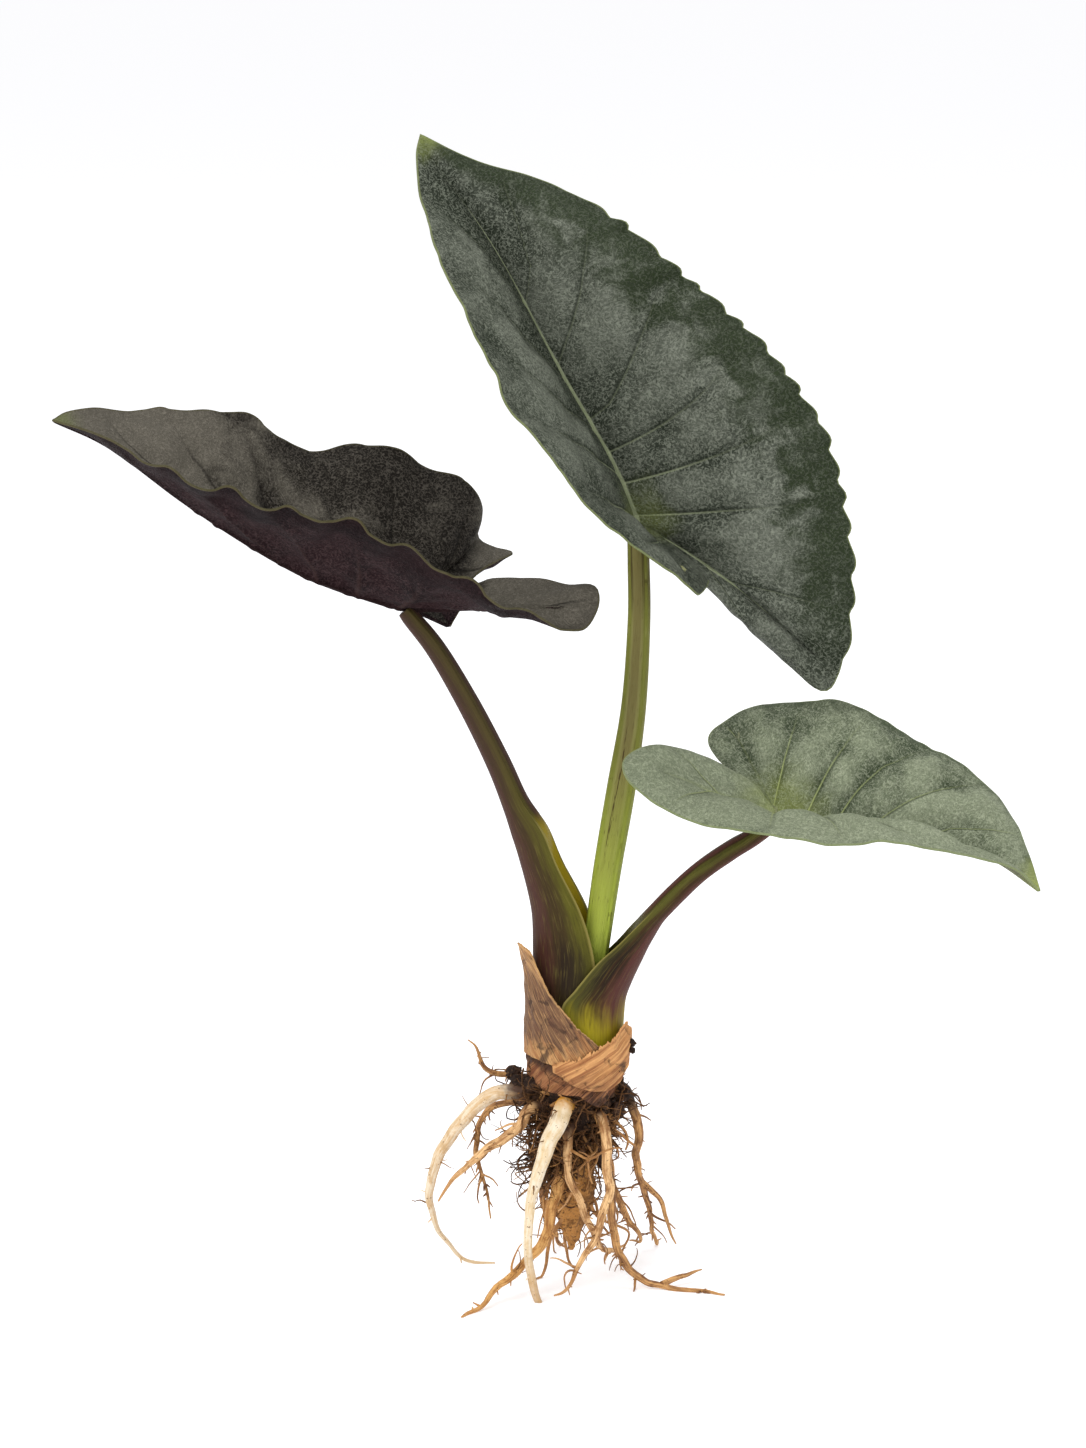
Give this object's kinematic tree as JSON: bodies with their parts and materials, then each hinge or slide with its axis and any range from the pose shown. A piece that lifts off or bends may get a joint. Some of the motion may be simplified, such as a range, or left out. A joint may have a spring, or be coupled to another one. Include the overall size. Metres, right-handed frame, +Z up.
{
  "type": "young alocasia plant with corm and bare roots",
  "caption": "Young bare-root alocasia: corm in dry sheaths with leaves on long stalks, thick pale and brown roots and a mat of fine roots, standing on its root tips.",
  "frame": {"origin": "centre of the plant's box, on the surface that its roots stand on", "axes": "+Z up; +X towards the right-hand leaf's tip, as the picture shows it; -Y towards the viewer"},
  "size_m": [0.2543, 0.0814, 0.2996],
  "materials": {
    "corm": "rough brown bark with a mat of fine roots",
    "sheath_left": "dry, streaked, fibrous",
    "sheath_right": "dry, streaked, fibrous",
    "sheath_low": "dry, red brown",
    "petiole_centre": "fleshy green stalk, satin",
    "petiole_left": "fleshy purple and green stalk, satin",
    "petiole_right": "fleshy purple and green stalk, satin",
    "blade_centre": "leathery leaf with a velvety face",
    "blade_left": "leathery leaf, purple below",
    "blade_right": "leathery grey-green leaf",
    "root_pale_front": "pale fleshy root",
    "root_pale_left": "pale fleshy root",
    "root_tan_left": "tan root",
    "root_tan_middle": "tan root",
    "root_tan_right": "tan root",
    "root_thin_left": "brown root",
    "root_upper_left": "brown root",
    "root_floor_left": "brown root",
    "root_floor_right": "brown root",
    "root_outer_right": "brown root",
    "root_inner_right": "brown root",
    "root_back": "brown root"
  },
  "bodies": {
    "root": {"corm": "corm", "sheath_left": "sheath_left", "sheath_right": "sheath_right", "sheath_low": "sheath_low", "petiole_centre": "petiole_centre", "petiole_left": "petiole_left", "petiole_right": "petiole_right", "blade_centre": "blade_centre", "blade_left": "blade_left", "blade_right": "blade_right", "root_pale_front": "root_pale_front", "root_pale_left": "root_pale_left", "root_tan_left": "root_tan_left", "root_tan_middle": "root_tan_middle", "root_tan_right": "root_tan_right", "root_thin_left": "root_thin_left", "root_upper_left": "root_upper_left", "root_floor_left": "root_floor_left", "root_floor_right": "root_floor_right", "root_outer_right": "root_outer_right", "root_inner_right": "root_inner_right", "root_back": "root_back"}
  },
  "joints": []
}
